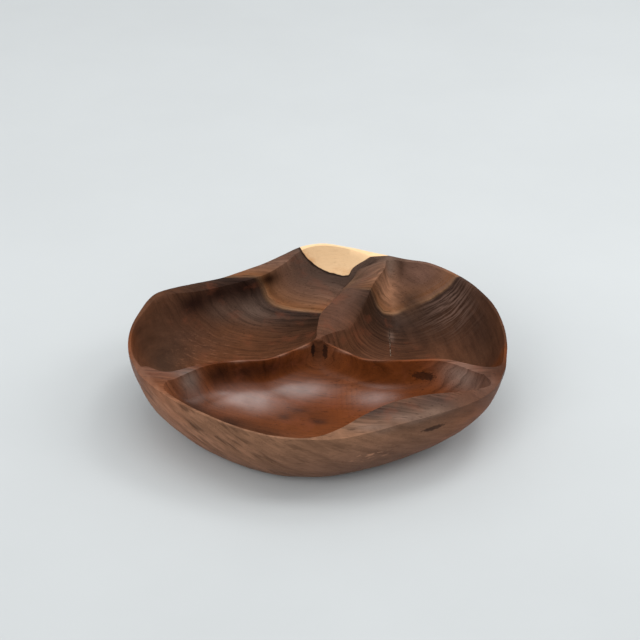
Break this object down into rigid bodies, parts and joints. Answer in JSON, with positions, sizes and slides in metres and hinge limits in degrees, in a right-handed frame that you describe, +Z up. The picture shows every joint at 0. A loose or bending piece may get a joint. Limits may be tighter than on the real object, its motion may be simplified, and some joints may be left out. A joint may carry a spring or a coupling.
{
  "type": "divided serving bowl",
  "caption": "Hand-carved wooden serving bowl, its inside parted by crisp meeting ridges into deep rounded hollows, with a pale sapwood band at the back of a waving rim.",
  "frame": {"origin": "bottom centre of the bowl's bounding box, on the plane it stands on", "axes": "+X to the right along the longest side, +Y to the back where the rim is highest, +Z up"},
  "size_m": [0.281, 0.245, 0.07],
  "materials": {
    "heartwood": "satin oil",
    "sapwood": "satin oil",
    "knot": "matt",
    "filler": "satin"
  },
  "bodies": {
    "root": {"heartwood_body": "heartwood", "sapwood_edge": "sapwood", "hub_knot_left": "knot", "hub_knot_right": "knot", "front_knot": "knot", "outer_knot": "knot", "crack_fill": "filler"}
  },
  "joints": []
}
